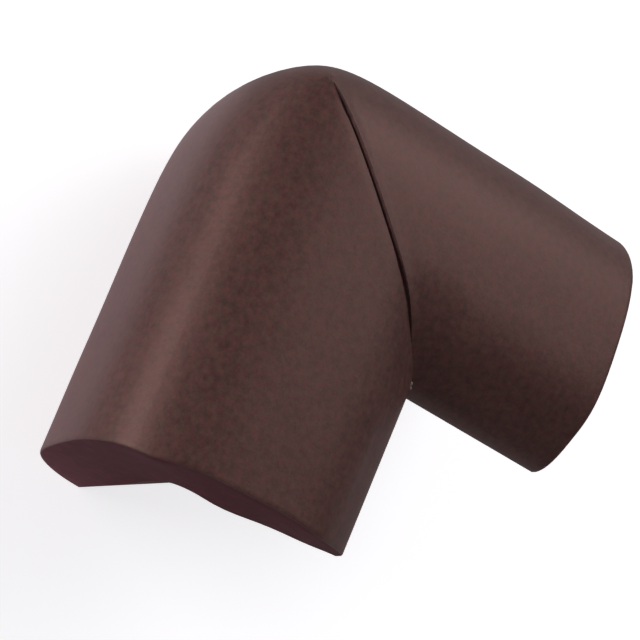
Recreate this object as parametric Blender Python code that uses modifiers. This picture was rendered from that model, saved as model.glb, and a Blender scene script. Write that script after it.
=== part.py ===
"""Foam corner guard for furniture: an L-section strip, notched and folded round a table corner.

Metres, +Z up. The guard is in its mounted position: its top plate lies on the table top, which is the plane z = 0,
and its walls hang down the table's two sides. The origin is on the underside of the top plate, on the fold.
The left arm runs along +X, the right arm along +Y.
"""

import math

import bmesh
import bpy
from mathutils import Vector
from mathutils.geometry import interpolate_bezier

MM = 0.001

# Overall sizes
ARM_LENGTH = 55.0 * MM  # each arm, from the outer face of the other one
WALL_THICKNESS = 11.6 * MM  # at its thickest, level with the table's edge
PLATE_THICKNESS = 8.7 * MM  # at the crown of the top plate
PLATE_REACH = 22.4 * MM  # onto the table top, from the table's side
WALL_DROP = 28.3 * MM  # down the table's side, from the table top

# The rounded outline of the section
CROWN_INSET = 6.8 * MM  # crown of the top plate, in from the table's side
WIDEST_DROP = 5.3 * MM  # widest point of the wall, below the table top
PLATE_TIP = 0.6 * MM  # blunt edge of the top plate
EDGE_FILLET = 3.0 * MM  # inner corner of the section, over the table's edge

# The fold
OUTER_FOLD_RADIUS = 16.2 * MM  # on the widest part of the wall
INNER_FOLD_RADIUS = 3.0 * MM  # against the table's upright edge
BEND_REACH = 1.2  # where the arm starts to bend, in fold radii
CREST_SHARE = 0.32  # how flat the fold is at its middle, in fold radii
MITRE_START = -4.6 * MM  # the two arms meet in a sharp mitre from here inwards
MOUNT_INSET = 11.0 * MM  # the origin, in from both of the table's sides

# The glued joint in the top plate, a narrow open groove along the mitre. It starts with the mitre
JOINT_OPENS = 2.4 * MM  # over this length
JOINT_CLOSES = 7.0 * MM
JOINT_END = 18.0 * MM
JOINT_WIDTH = 0.62 * MM
JOINT_DEPTH = 2.2 * MM

# Fineness
CURVE_STEPS = 12  # on each stretch of the outline
FILLET_STEPS = 6
FOLD_STEPS = 15  # over half of the fold
WELD = 0.0005 * MM

FOAM_COLOUR = (0.078, 0.043, 0.037, 1.0)
FOAM_ROUGHNESS = 0.62

ARM_END = ARM_LENGTH - WALL_THICKNESS  # from the table's side
DIAGONAL = math.sqrt(2.0)
ARM_HEADING = Vector((1.0, 1.0, 0.0))  # in the frame turned to the fold


def clear_scene():
    for thing in list(bpy.data.objects):
        bpy.data.objects.remove(thing, do_unlink=True)


def foam_material():
    material = bpy.data.materials.new("brown foam skin")
    material.use_nodes = True
    shader = material.node_tree.nodes["Principled BSDF"]
    shader.inputs["Base Color"].default_value = FOAM_COLOUR
    shader.inputs["Roughness"].default_value = FOAM_ROUGHNESS
    shader.inputs["Metallic"].default_value = 0.0
    return material


def knot(inward, height, heading, before, after):
    """One knot of the outline: its place, the heading in degrees, and how far its two handles reach."""
    place = Vector((inward, height, 0.0))
    along = Vector((math.cos(math.radians(heading)), math.sin(math.radians(heading)), 0.0))
    return place - along * before, place, place + along * after


def outer_outline():
    """Skin side of the section, from the foot of the wall over the bulge to the edge of the top plate."""
    knots = [
        knot(0.0, -WALL_DROP, 168.0, 0.0, 0.37 * WALL_THICKNESS),
        knot(-0.85 * WALL_THICKNESS, -0.68 * WALL_DROP, 110.0, 0.43 * WALL_THICKNESS, 0.25 * WALL_THICKNESS),
        knot(-WALL_THICKNESS, -WIDEST_DROP, 90.0, 0.6 * WIDEST_DROP, 0.95 * WIDEST_DROP),
        knot(-0.52 * WALL_THICKNESS, 0.7 * PLATE_THICKNESS, 33.5, 0.52 * PLATE_THICKNESS, 0.47 * PLATE_THICKNESS),
        knot(CROWN_INSET, PLATE_THICKNESS, 0.0, 0.8 * CROWN_INSET, 0.8 * CROWN_INSET),
        knot(0.78 * PLATE_REACH, 0.72 * PLATE_THICKNESS, -35.6, 0.15 * PLATE_REACH, 0.17 * PLATE_REACH),
        knot(PLATE_REACH, PLATE_TIP, -81.0, 0.1 * PLATE_REACH, 0.0),
    ]
    points = []
    for near, far in zip(knots[:-1], knots[1:]):
        points += interpolate_bezier(near[1], near[2], far[0], far[1], CURVE_STEPS + 1)[:-1]
    points.append(knots[-1][1])
    return [(point.x, point.y) for point in points]


def inner_outline():
    """Table side of the section, from the edge of the top plate round the fillet towards the foot of the wall."""
    points = [(PLATE_REACH, 0.0)]
    for step in range(FILLET_STEPS + 1):
        turn = math.radians(90.0 * step / FILLET_STEPS)
        points.append((EDGE_FILLET * (1.0 - math.sin(turn)), EDGE_FILLET * (math.cos(turn) - 1.0)))
    return points


def outer_fold_radius(inward, height):
    """The skin folds most openly at the widest part of the wall, and sharply from the start of the mitre."""
    if height < -WIDEST_DROP:
        share = -inward / WALL_THICKNESS
        return INNER_FOLD_RADIUS + (OUTER_FOLD_RADIUS - INNER_FOLD_RADIUS) * share
    share = (MITRE_START - inward) / (MITRE_START + WALL_THICKNESS)
    return OUTER_FOLD_RADIUS * max(0.0, share)


def inner_fold_radius(inward):
    return max(0.0, INNER_FOLD_RADIUS - inward)


def joint_share(inward, height):
    """How deep the joint is here, from 0 at both of its ends to 1."""
    if height < 0.0 or not MITRE_START < inward < JOINT_END:
        return 0.0
    return min(1.0, (inward - MITRE_START) / JOINT_OPENS, (JOINT_END - inward) / JOINT_CLOSES)


def path(inward, height, radius, joint):
    """One line of the skin in the frame turned to the fold: straight along the arm, then softly round the fold, or
    down into the open joint where the arms meet in the mitre.
    """
    corner = Vector((DIAGONAL * inward, 0.0, height))
    lip = math.sqrt(joint) * JOINT_WIDTH / 2.0
    crest = corner + Vector(((DIAGONAL - 1.0) * radius, 0.0, -joint * JOINT_DEPTH))
    arm_end = corner + ARM_HEADING * (ARM_END - inward) / DIAGONAL
    bend_start = corner + ARM_HEADING * max(lip, BEND_REACH * radius)
    bend_handle = corner + ARM_HEADING * max(lip, BEND_REACH * radius / 2.0)
    crest_handle = crest + Vector((0.0, CREST_SHARE * radius, 0.0))
    return [arm_end, *interpolate_bezier(bend_start, bend_handle, crest_handle, crest, FOLD_STEPS + 1)]


def section_paths():
    paths = []
    for inward, height in outer_outline():
        joint = joint_share(inward, height)
        paths.append(path(inward, height, outer_fold_radius(inward, height), joint))
    for inward, height in inner_outline():
        paths.append(path(inward, height, inner_fold_radius(inward), 0.0))
    return paths


def half_guard():
    """One arm with its half of the fold, open at the fold. Its rings are joined as a loft between unlike sections."""
    mesh = bmesh.new()
    rings = [[mesh.verts.new(place) for place in line] for line in section_paths()]
    for line, beside in zip(rings, rings[1:] + rings[:1]):
        for step in range(len(line) - 1):
            mesh.faces.new((line[step], line[step + 1], beside[step + 1], beside[step]))
    mesh.faces.new([line[0] for line in rings])
    bmesh.ops.remove_doubles(mesh, verts=mesh.verts, dist=WELD)
    bmesh.ops.recalc_face_normals(mesh, faces=mesh.faces)
    data = bpy.data.meshes.new("corner_guard")
    mesh.to_mesh(data)
    mesh.free()
    return data


def build_guard(collection):
    data = half_guard()
    data.materials.append(foam_material())
    data.shade_smooth()
    data.set_sharp_from_angle(angle=math.radians(35.0))
    guard = bpy.data.objects.new("corner_guard", data)
    collection.objects.link(guard)
    guard.location = (-MOUNT_INSET, -MOUNT_INSET, 0.0)
    guard.rotation_euler = (0.0, 0.0, math.radians(45.0))
    mirror = guard.modifiers.new("other arm", "MIRROR")
    mirror.use_axis = (False, True, False)
    mirror.merge_threshold = WELD
    return guard


def main():
    clear_scene()
    collection = bpy.data.collections.new("Foam corner guard")
    bpy.context.scene.collection.children.link(collection)
    build_guard(collection)


main()
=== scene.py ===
"""Looks of a soft foam corner guard for furniture. Metres, +Z up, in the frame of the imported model."""

import math

import bmesh
import bpy
from mathutils import Matrix, Vector, noise

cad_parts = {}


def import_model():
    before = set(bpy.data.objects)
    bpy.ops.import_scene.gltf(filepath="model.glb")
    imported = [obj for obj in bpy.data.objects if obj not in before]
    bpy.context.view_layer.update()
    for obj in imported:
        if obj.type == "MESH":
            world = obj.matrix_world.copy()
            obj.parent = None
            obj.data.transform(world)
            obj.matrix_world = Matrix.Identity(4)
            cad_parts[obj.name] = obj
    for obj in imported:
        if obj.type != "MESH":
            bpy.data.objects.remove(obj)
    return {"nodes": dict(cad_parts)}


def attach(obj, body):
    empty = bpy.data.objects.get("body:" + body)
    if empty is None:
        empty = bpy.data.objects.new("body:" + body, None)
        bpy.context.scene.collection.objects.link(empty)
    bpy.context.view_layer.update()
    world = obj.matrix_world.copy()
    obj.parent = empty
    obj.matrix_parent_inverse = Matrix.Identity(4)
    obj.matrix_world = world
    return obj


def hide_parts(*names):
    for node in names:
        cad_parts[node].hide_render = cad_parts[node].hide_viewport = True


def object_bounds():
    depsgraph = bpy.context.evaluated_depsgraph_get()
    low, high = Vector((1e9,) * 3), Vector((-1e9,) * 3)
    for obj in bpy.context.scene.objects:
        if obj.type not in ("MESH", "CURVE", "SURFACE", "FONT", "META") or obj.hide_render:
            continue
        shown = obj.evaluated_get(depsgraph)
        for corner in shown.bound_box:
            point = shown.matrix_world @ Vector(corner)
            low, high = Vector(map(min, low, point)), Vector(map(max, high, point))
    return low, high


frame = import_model()
CAD_LOW, CAD_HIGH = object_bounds()

MM = 0.001
NODE = "corner_guard"
SKIN, CUT_END, JOINT_WALL = range(3)  # the guard's surfaces, in the order of its materials

# The guard's own places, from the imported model. Its left arm runs along +X, its right arm along +Y
FLOOR_HEIGHT = CAD_LOW.z
ARM_END = CAD_HIGH.x
NOTCH = 11.4 * MM  # the edges of the two plates meet here
FOLD = Vector((0.0, 0.0, 0.0))  # under the top plate, where the softboxes aim

# Directions on the guard
ALONG_LEFT = Vector((1.0, 0.0, 0.0))
ALONG_RIGHT = Vector((0.0, 1.0, 0.0))
UP = Vector((0.0, 0.0, 1.0))
ACROSS = Vector((1.0, -1.0, 0.0)).normalized()  # from the fold's plane towards the left arm
INTO = Vector((1.0, 1.0, 0.0)).normalized()  # along the joint, into the notch
OUTWARD = Vector((-1.0, -1.0, 1.0))  # on the whole, where the outer skin faces

# How squarely a face has to point somewhere, as the cosine of the angle between the two
SQUARE = 0.999  # a cut end, along its arm
STEEP = 0.8  # a wall of the joint, across it
UPWARD = 0.3  # the skin of the top plates, up
OUTER = 0.2  # the outer skin, outwards

# Fineness of the foam's surface
WELD = 0.0005 * MM
STATION = 1.6 * MM  # cross-cuts along the arms
EDGE_ROUND = 0.2 * MM  # where the strip was cut to length
SHARP_FROM = math.radians(40.0)

# Its gentle unevenness
SWELL_HEIGHT = 0.06 * MM
SWELL_LENGTH = 11.0 * MM

# Where the foam was pushed out a little as the strip was folded: the place, how wide and how high
BULGES = (
    (Vector((-15.0, -19.7, -11.0)) * MM, 8.0 * MM, 0.36 * MM),
    (Vector((-20.5, 17.0, 2.0)) * MM, 9.0 * MM, 0.2 * MM),
)

# Where the top plates sank a little beside the joint: the place, how wide and how deep
SAG = (Vector((4.6, 7.2, 7.0)) * MM, 4.2 * MM, 0.55 * MM)

# The open joint. The lip on the right arm stands up a little, the one on the left arm is pressed down
JOINT_HALF = 0.33 * MM
LIP_RINGS = (0.48 * MM, 0.72 * MM, 1.1 * MM, 1.6 * MM)
LIP_RISE = 0.2 * MM
LIP_SINK = 0.1 * MM
LIP_FADE = 3.0 * MM  # at both ends of the joint

# The lips come together towards the notch. How far apart they are, of the width in the model: up to the
# first place along the joint, counted from the fold, and beyond the second
LIPS_APART = (0.8, 0.22)
LIPS_MEET = (2.3 * MM, 6.2 * MM)
CEMENT_LEAVES = 0.35  # of the joint's depth in the model

# Two small beads of cement, pressed out at the lower end of the joint
BEADS = (Vector((10.3, 9.98, 3.08)) * MM, Vector((10.62, 10.4, 2.5)) * MM)
BEAD_RADIUS = 0.28 * MM
BEAD_SHAPE = (1.0, 1.0, 0.85)  # a little flattened as they dried

# The knife went through the left arm a little unevenly. Where it left more foam, how wide and how high. A
# negative height is foam that it took away
CUT_WAVES = (
    (Vector((0.0, -6.0, -0.5)) * MM, 6.0 * MM, 0.8 * MM),
    (Vector((0.0, -17.0, 4.5)) * MM, 3.0 * MM, 0.4 * MM),
    (Vector((0.0, 4.0, 7.0)) * MM, 4.5 * MM, 0.45 * MM),
    (Vector((0.0, 11.4, 0.0)) * MM, 3.5 * MM, -0.3 * MM),
    (Vector((0.0, -11.5, -7.0)) * MM, 6.0 * MM, -0.3 * MM),
)
CUT_FADE = 9.0 * MM  # back from the cut end

# How much narrower the soft plates lie than they were drawn: at the notch, and at the arm's end
LEFT_TRIM = (0.2 * MM, 1.1 * MM)
RIGHT_TRIM = (0.25 * MM, 0.0)

# Patterns in the foam. The real mottle, grain and cells are about a tenth of a millimetre, too fine to show
# in the render, so they are drawn as coarse as this
MOTTLE = 0.9 * MM
DYE = 0.8 * MM
GRAIN = 0.35 * MM
CELL = 0.34 * MM
CUT_MOTTLE = 1.6 * MM
CLOUD = 7.0 * MM  # where the mould was warmer or cooler, at its real size
SMEAR = 0.8 * MM  # of cement, left by the brush
BEAD_CLOUD = 0.2 * MM

# Camera, as in the photograph
CAMERA_PLACE = Vector((74.06, -90.21, 179.21)) * MM
CAMERA_AZIMUTH = 37.0
CAMERA_ELEVATION = 58.5
CAMERA_ROLL = 78.5
CAMERA_LENS = 101.9  # millimetres on a 36 mm sensor

# Backdrop
FLOOR_REACH = 1.5  # metres each way
PAPER_LIFT = 0.74  # how much whiter the camera sees the paper than it is lit
UNDER_WALL = Vector((9.0 * MM, -25.0 * MM, FLOOR_HEIGHT + 0.5 * MM))  # on the paper, below the left wall


def linear(code):
    """A colour written as sRGB hex, in the linear values that shaders take."""
    channels = [int(code[start:start + 2], 16) / 255.0 for start in (0, 2, 4)]
    turned = [c / 12.92 if c <= 0.04045 else ((c + 0.055) / 1.055) ** 2.4 for c in channels]
    return (*turned, 1.0)


def add(tree, kind, settings=None, links=None):
    """A node with its settings, by attribute or input name, and its input links."""
    node = tree.nodes.new(kind)
    for name, value in (settings or {}).items():
        if isinstance(name, str) and hasattr(node, name):
            setattr(node, name, value)
        else:
            node.inputs[name].default_value = value
    for name, source in (links or {}).items():
        tree.links.new(source, node.inputs[name])
    return node


def new_material(name):
    material = bpy.data.materials.new(name)
    material.use_nodes = True
    material.node_tree.nodes.clear()
    return material, material.node_tree


def moulded_foam_skin():
    """Nitrile foam with the closed skin of its mould: matt, soft to the light, with a fine mottle."""
    material, tree = new_material("moulded nitrile foam skin")
    place = add(tree, "ShaderNodeTexCoord").outputs["Object"]
    mottle = add(tree, "ShaderNodeTexNoise", {"Scale": 1.0 / MOTTLE, "Detail": 5.0, "Roughness": 0.72},
                 {"Vector": place})
    cloud = add(tree, "ShaderNodeTexNoise", {"Scale": 1.0 / CLOUD, "Detail": 2.0, "Roughness": 0.5},
                {"Vector": place})
    blend = add(tree, "ShaderNodeMath", {"operation": "MULTIPLY_ADD", 1: 0.15},
                {0: cloud.outputs["Fac"], 2: mottle.outputs["Fac"]})
    tone = add(tree, "ShaderNodeValToRGB", None, {"Fac": blend.outputs["Value"]})
    tone.color_ramp.elements[0].position = 0.41
    tone.color_ramp.elements[0].color = linear("3d2b29")
    tone.color_ramp.elements[1].position = 0.75
    tone.color_ramp.elements[1].color = linear("6e4a44")
    # The dye took unevenly, so that some spots are redder than others
    dye = add(tree, "ShaderNodeTexNoise", {"Scale": 1.0 / DYE, "Detail": 2.0, "Roughness": 0.5},
              {"Vector": place})
    warmth = add(tree, "ShaderNodeValToRGB", None, {"Fac": dye.outputs["Fac"]})
    warmth.color_ramp.elements[0].position = 0.35
    warmth.color_ramp.elements[0].color = linear("4d4038")
    warmth.color_ramp.elements[1].position = 0.65
    warmth.color_ramp.elements[1].color = linear("5d3237")
    colour = add(tree, "ShaderNodeMix", {"data_type": "RGBA", 0: 0.4},
                 {6: tone.outputs["Color"], 7: warmth.outputs["Color"]})
    grain = add(tree, "ShaderNodeTexNoise", {"Scale": 1.0 / GRAIN, "Detail": 3.0, "Roughness": 0.55},
                {"Vector": place})
    relief = add(tree, "ShaderNodeBump", {"Strength": 0.5, "Distance": 0.03 * MM},
                 {"Height": grain.outputs["Fac"]})
    gloss = add(tree, "ShaderNodeMapRange", {"To Min": 0.42, "To Max": 0.54},
                {"Value": mottle.outputs["Fac"]})
    shader = add(tree, "ShaderNodeBsdfPrincipled", {"IOR": 1.62, "Specular Tint": linear("ffcac0")},
                 {"Base Color": colour.outputs[2], "Roughness": gloss.outputs["Result"],
                  "Normal": relief.outputs["Normal"]})
    add(tree, "ShaderNodeOutputMaterial", None, {"Surface": shader.outputs["BSDF"]})
    return material


def knife_cut_foam():
    """The same foam where a blade went through it: darker and redder, dull, with the small cells open."""
    material, tree = new_material("knife-cut nitrile foam")
    place = add(tree, "ShaderNodeTexCoord").outputs["Object"]
    cells = add(tree, "ShaderNodeTexVoronoi", {"Scale": 1.0 / CELL, "Randomness": 1.0},
                {"Vector": place})
    mottle = add(tree, "ShaderNodeTexNoise", {"Scale": 1.0 / CUT_MOTTLE, "Detail": 4.0},
                 {"Vector": place})
    tone = add(tree, "ShaderNodeValToRGB", None, {"Fac": mottle.outputs["Fac"]})
    tone.color_ramp.elements[0].position = 0.35
    tone.color_ramp.elements[0].color = linear("642f38")
    tone.color_ramp.elements[1].position = 0.7
    tone.color_ramp.elements[1].color = linear("703641")
    pits = add(tree, "ShaderNodeMapRange", {"From Min": 0.0, "From Max": 0.35, "To Min": 0.0, "To Max": 1.0},
               {"Value": cells.outputs["Distance"]})
    relief = add(tree, "ShaderNodeBump", {"Strength": 0.4, "Distance": 0.05 * MM},
                 {"Height": pits.outputs["Result"]})
    shader = add(tree, "ShaderNodeBsdfPrincipled", {"IOR": 1.45, "Roughness": 0.85},
                 {"Base Color": tone.outputs["Color"], "Normal": relief.outputs["Normal"]})
    add(tree, "ShaderNodeOutputMaterial", None, {"Surface": shader.outputs["BSDF"]})
    return material


def glued_foam():
    """Cut foam brushed with contact cement, on the walls of the joint: dull, and faintly streaked."""
    material, tree = new_material("cemented nitrile foam")
    place = add(tree, "ShaderNodeTexCoord").outputs["Object"]
    smear = add(tree, "ShaderNodeTexNoise", {"Scale": 1.0 / SMEAR, "Detail": 3.0}, {"Vector": place})
    tone = add(tree, "ShaderNodeValToRGB", None, {"Fac": smear.outputs["Fac"]})
    tone.color_ramp.elements[0].position = 0.35
    tone.color_ramp.elements[0].color = linear("593c3a")
    tone.color_ramp.elements[1].position = 0.7
    tone.color_ramp.elements[1].color = linear("6f4c49")
    relief = add(tree, "ShaderNodeBump", {"Strength": 0.4, "Distance": 0.05 * MM},
                 {"Height": smear.outputs["Fac"]})
    shader = add(tree, "ShaderNodeBsdfPrincipled", {"IOR": 1.45, "Roughness": 0.8},
                 {"Base Color": tone.outputs["Color"], "Normal": relief.outputs["Normal"]})
    add(tree, "ShaderNodeOutputMaterial", None, {"Surface": shader.outputs["BSDF"]})
    return material


def dried_cement():
    """Contact cement that was pressed out and dried: pale, a little glossy, with a faint cloud in it."""
    material, tree = new_material("dried contact cement")
    place = add(tree, "ShaderNodeTexCoord").outputs["Object"]
    cloud = add(tree, "ShaderNodeTexNoise", {"Scale": 1.0 / BEAD_CLOUD, "Detail": 2.0}, {"Vector": place})
    tone = add(tree, "ShaderNodeValToRGB", None, {"Fac": cloud.outputs["Fac"]})
    tone.color_ramp.elements[0].color = linear("85776f")
    tone.color_ramp.elements[1].color = linear("ab9b91")
    shader = add(tree, "ShaderNodeBsdfPrincipled", {"IOR": 1.47, "Roughness": 0.4},
                 {"Base Color": tone.outputs["Color"]})
    add(tree, "ShaderNodeOutputMaterial", None, {"Surface": shader.outputs["BSDF"]})
    return material


def white_paper():
    """Matt white paper. To the camera it is nearly white, and it still keeps the guard's soft shadow."""
    material, tree = new_material("white paper sweep")
    seen = add(tree, "ShaderNodeLightPath")
    lift = add(tree, "ShaderNodeMath", {"operation": "MULTIPLY", 1: PAPER_LIFT},
               {0: seen.outputs["Is Camera Ray"]})
    paper = add(tree, "ShaderNodeBsdfDiffuse", {"Color": linear("e6e5e7")})
    glow = add(tree, "ShaderNodeEmission", {"Color": linear("fdfcfe")}, {"Strength": lift.outputs["Value"]})
    both = add(tree, "ShaderNodeAddShader", None, {0: paper.outputs["BSDF"], 1: glow.outputs["Emission"]})
    add(tree, "ShaderNodeOutputMaterial", None, {"Surface": both.outputs["Shader"]})
    return material


def limited(share):
    return max(0.0, min(1.0, share))


def nearness(place, middle, size):
    """1 in the middle of a soft spot, and less and less away from it."""
    return math.exp(-((place - middle).length / size) ** 2)


def merged_copy(name):
    """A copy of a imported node's loose triangles, joined at their corners."""
    mesh = bmesh.new()
    mesh.from_mesh(frame["nodes"][name].data)
    bmesh.ops.remove_doubles(mesh, verts=mesh.verts, dist=WELD)
    return mesh


def make_piece(name, mesh, *materials):
    """An object at the origin from a finished mesh, with its materials."""
    data = bpy.data.meshes.new(name)
    mesh.to_mesh(data)
    mesh.free()
    for material in materials:
        data.materials.append(material)
    piece = bpy.data.objects.new(name, data)
    bpy.context.scene.collection.objects.link(piece)
    return piece


def cut(mesh, faces, along, reach):
    """Cuts these faces where a plane across this direction meets them."""
    edges = {edge for face in faces for edge in face.edges}
    points = {point for face in faces for point in face.verts}
    bmesh.ops.bisect_plane(mesh, geom=[*points, *edges, *faces], dist=WELD, plane_co=along * reach,
                           plane_no=along)


def at_end(face):
    """Whether a blade that cut the strip to length made this face."""
    centre = face.calc_center_median()
    for along in (ALONG_LEFT, ALONG_RIGHT):
        if face.normal.dot(along) > SQUARE and centre.dot(along) > ARM_END - WELD:
            return True
    return False


def end_faces(mesh):
    return [face for face in mesh.faces if at_end(face)]


def in_joint(face):
    """Whether this face is a wall of the open joint in the top plate."""
    centre = face.calc_center_median()
    return centre.z > 0.0 and abs(centre.dot(ACROSS)) < JOINT_HALF and abs(face.normal.dot(ACROSS)) > STEEP


def rim_of(mesh, inside):
    """The edges between these faces and all the others."""
    chosen = set(inside)
    return [edge for edge in mesh.edges if sum(face in chosen for face in edge.link_faces) == 1]


def shape_lips(mesh):
    """Fills the joint with cement, closes its lips, and rounds them, the right arm's a little proud."""
    walls = [face for face in mesh.faces if in_joint(face)]
    inside = {point for face in walls for point in face.verts}
    lips = {point for edge in rim_of(mesh, walls) for point in edge.verts}
    bottom = inside - lips
    start = min(point.co.dot(INTO) for point in lips)
    end = max(point.co.dot(INTO) for point in lips)
    for point in bottom:
        beside = min(lips, key=lambda lip: abs((lip.co - point.co).dot(INTO)))
        point.co.z = beside.co.z - (beside.co.z - point.co.z) * CEMENT_LEAVES
    for point in lips:
        past = limited((point.co.dot(INTO) - LIPS_MEET[0]) / (LIPS_MEET[1] - LIPS_MEET[0]))
        apart = LIPS_APART[0] + (LIPS_APART[1] - LIPS_APART[0]) * past
        point.co -= ACROSS * point.co.dot(ACROSS) * (1.0 - apart)
    for reach in LIP_RINGS:
        for side in (-reach, reach):
            cut(mesh, [face for face in mesh.faces if face.normal.z > UPWARD], ACROSS, side)
    for point in mesh.verts:
        aside = point.co.dot(ACROSS)
        if point.co.z < 0.0 or abs(aside) > LIP_RINGS[-1] + WELD or point in bottom:
            continue
        along = point.co.dot(INTO)
        share = limited(min(along - start, end - along) / LIP_FADE)
        away = limited((abs(aside) - JOINT_HALF) / (LIP_RINGS[-1] - JOINT_HALF))
        point.co.z += (LIP_RISE if aside < 0.0 else -LIP_SINK) * share * (1.0 - away) ** 2


def cross_cut(mesh):
    """Cuts the long straight faces of both arms into short ones, so that the foam can swell a little."""
    for along in (ALONG_LEFT, ALONG_RIGHT):
        reach = CAD_LOW.x + STATION
        while reach < ARM_END - EDGE_ROUND:
            cut(mesh, list(mesh.faces), along, reach)
            reach += STATION
    reach = CAD_LOW.z + STATION
    while reach < CAD_HIGH.z:
        cut(mesh, end_faces(mesh), UP, reach)
        reach += STATION


def mark_surfaces(mesh):
    """Gives the skin, the cut ends and the joint's walls their materials, and keeps the crisp edges crisp."""
    for face in mesh.faces:
        face.smooth = True
        face.material_index = CUT_END if at_end(face) else JOINT_WALL if in_joint(face) else SKIN
    for edge in mesh.edges:
        on_mitre = all(abs(point.co.dot(ACROSS)) < WELD and point.co.z > 0.0 for point in edge.verts)
        edge.smooth = not on_mitre and edge.calc_face_angle() < SHARP_FROM


def shape_cut(mesh):
    """Leaves the left arm's cut end a little uneven."""
    for point in mesh.verts:
        near = limited((point.co.x - ARM_END + CUT_FADE) / CUT_FADE) ** 2
        on_end = Vector((0.0, point.co.y, point.co.z))
        extra = sum(height * nearness(on_end, middle, size) for middle, size, height in CUT_WAVES)
        point.co.x += near * extra


def trim(across, along, by_notch, by_end):
    """How much narrower a plate is here, most at its edge, and less and less along the other arm."""
    outward = limited((across - CAD_LOW.y) / (NOTCH - CAD_LOW.y)) ** 3
    past = limited((across - NOTCH) / (ARM_END - NOTCH))
    share = limited((along - NOTCH) / (ARM_END - NOTCH))
    return (by_notch + (by_end - by_notch) * share) * outward * (1.0 - past)


def shape_plates(mesh):
    """Draws both plates in from the notch a little."""
    for point in mesh.verts:
        left = trim(point.co.y, point.co.x, *LEFT_TRIM)
        right = trim(point.co.x, point.co.y, *RIGHT_TRIM)
        point.co -= Vector((right, left, 0.0))


def sag(mesh):
    """Lets the top plates sink a little beside the joint, mostly the right arm's."""
    middle, size, depth = SAG
    for point in mesh.verts:
        if point.co.z > WELD:
            point.co.z -= depth * nearness(point.co, middle, size)


def swell(mesh):
    """Lets the outer skin rise and sink softly, as moulded foam does, and bulge where it was folded."""
    mesh.normal_update()
    for point in mesh.verts:
        if point.normal.dot(OUTWARD) > OUTER:
            rise = SWELL_HEIGHT * noise.noise(point.co / SWELL_LENGTH)
            for middle, size, height in BULGES:
                rise += height * nearness(point.co, middle, size)
            point.co += point.normal * rise


def finish_guard():
    """The foam strip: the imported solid's form, with the small unevenness of this one."""
    mesh = merged_copy(NODE)
    bmesh.ops.dissolve_faces(mesh, faces=end_faces(mesh))
    bmesh.ops.join_triangles(mesh, faces=mesh.faces, angle_face_threshold=0.1, angle_shape_threshold=3.0)
    shape_lips(mesh)
    bmesh.ops.bevel(mesh, geom=rim_of(mesh, end_faces(mesh)), offset=EDGE_ROUND, segments=2, profile=0.5,
                    affect="EDGES", material=-1)
    cross_cut(mesh)
    mark_surfaces(mesh)
    shape_cut(mesh)
    shape_plates(mesh)
    sag(mesh)
    swell(mesh)
    guard = make_piece("foam_guard", mesh, moulded_foam_skin(), knife_cut_foam(), glued_foam())
    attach(guard, "root")
    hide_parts(NODE)


def cement_beads():
    """Two drops of cement on the skin, at the lower end of the joint."""
    mesh = bmesh.new()
    for place in BEADS:
        bead = bmesh.ops.create_icosphere(mesh, subdivisions=3, radius=BEAD_RADIUS)["verts"]
        bmesh.ops.scale(mesh, verts=bead, vec=BEAD_SHAPE)
        bmesh.ops.translate(mesh, verts=bead, vec=place)
    for face in mesh.faces:
        face.smooth = True
    beads = make_piece("cement_beads", mesh, dried_cement())
    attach(beads, "root")


def floor():
    mesh = bmesh.new()
    bmesh.ops.create_grid(mesh, x_segments=1, y_segments=1, size=FLOOR_REACH)
    bmesh.ops.translate(mesh, verts=mesh.verts, vec=(0.0, 0.0, FLOOR_HEIGHT))
    make_piece("floor", mesh, white_paper())


def world(strength):
    """Even light from all round. The camera sees it as white as the paper."""
    air = bpy.data.worlds.new("studio air")
    air.use_nodes = True
    tree = air.node_tree
    tree.nodes.clear()
    seen = add(tree, "ShaderNodeLightPath")
    level = add(tree, "ShaderNodeMapRange", {"To Min": strength, "To Max": 1.0},
                {"Value": seen.outputs["Is Camera Ray"]})
    sky = add(tree, "ShaderNodeBackground", {"Color": linear("fdfcfe")},
              {"Strength": level.outputs["Result"]})
    add(tree, "ShaderNodeOutputWorld", None, {"Surface": sky.outputs["Background"]})
    bpy.context.scene.world = air


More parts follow.
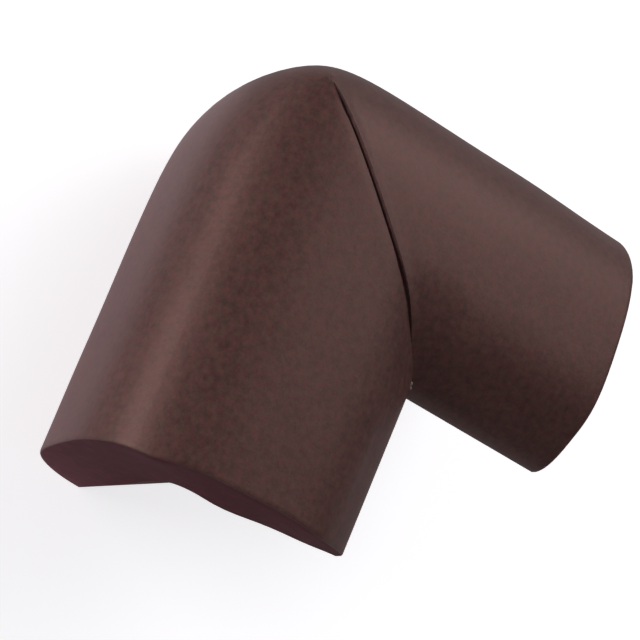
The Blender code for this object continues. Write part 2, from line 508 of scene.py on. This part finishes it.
def back_direction(azimuth, elevation):
    """From the object towards a lamp or camera. Azimuth 0 is seen looking along +Y."""
    a = math.radians(azimuth)
    e = math.radians(elevation)
    return Vector((math.sin(a) * math.cos(e), -math.cos(a) * math.cos(e), math.sin(e)))


def softbox(name, aim, azimuth, elevation, distance, width, height, power, tint="ffffff"):
    """A flat lamp that faces its aim. Degrees, metres and watts."""
    lamp = bpy.data.lights.new(name, "AREA")
    lamp.shape = "RECTANGLE"
    lamp.size = width
    lamp.size_y = height
    lamp.energy = power
    lamp.color = linear(tint)[:3]
    box = bpy.data.objects.new(name, lamp)
    towards = back_direction(azimuth, elevation)
    box.location = aim + towards * distance
    box.rotation_euler = towards.to_track_quat("Z", "Y").to_euler()
    box.visible_camera = False
    bpy.context.scene.collection.objects.link(box)


def lamps():
    """A low softbox in front, two behind, and the light that the paper throws up at the left wall."""
    softbox("front softbox", FOLD, azimuth=0.0, elevation=3.5,
            distance=0.6, width=0.36, height=0.32, power=2.3)
    softbox("upper back softbox", FOLD, azimuth=230.0, elevation=50.0,
            distance=0.6, width=0.36, height=0.36, power=0.65)
    softbox("lower back softbox", FOLD, azimuth=252.0, elevation=35.0,
            distance=0.6, width=0.36, height=0.36, power=0.8)
    softbox("bounce from the paper", UNDER_WALL, azimuth=0.0, elevation=-90.0,
            distance=0.0, width=0.082, height=0.034, power=0.0036, tint="ffe7f3")


def camera():
    lens = bpy.data.cameras.new("camera")
    lens.lens = CAMERA_LENS
    lens.clip_start = 0.01
    view = bpy.data.objects.new("camera", lens)
    back = back_direction(CAMERA_AZIMUTH, CAMERA_ELEVATION)
    turn = back.to_track_quat("Z", "Y").to_matrix().to_4x4()
    roll = Matrix.Rotation(math.radians(CAMERA_ROLL), 4, "Z")
    view.matrix_world = Matrix.Translation(CAMERA_PLACE) @ turn @ roll
    bpy.context.scene.collection.objects.link(view)
    bpy.context.scene.camera = view


finish_guard()
cement_beads()
floor()
world(strength=0.15)
lamps()
camera()
bpy.context.scene.view_settings.view_transform = "Standard"
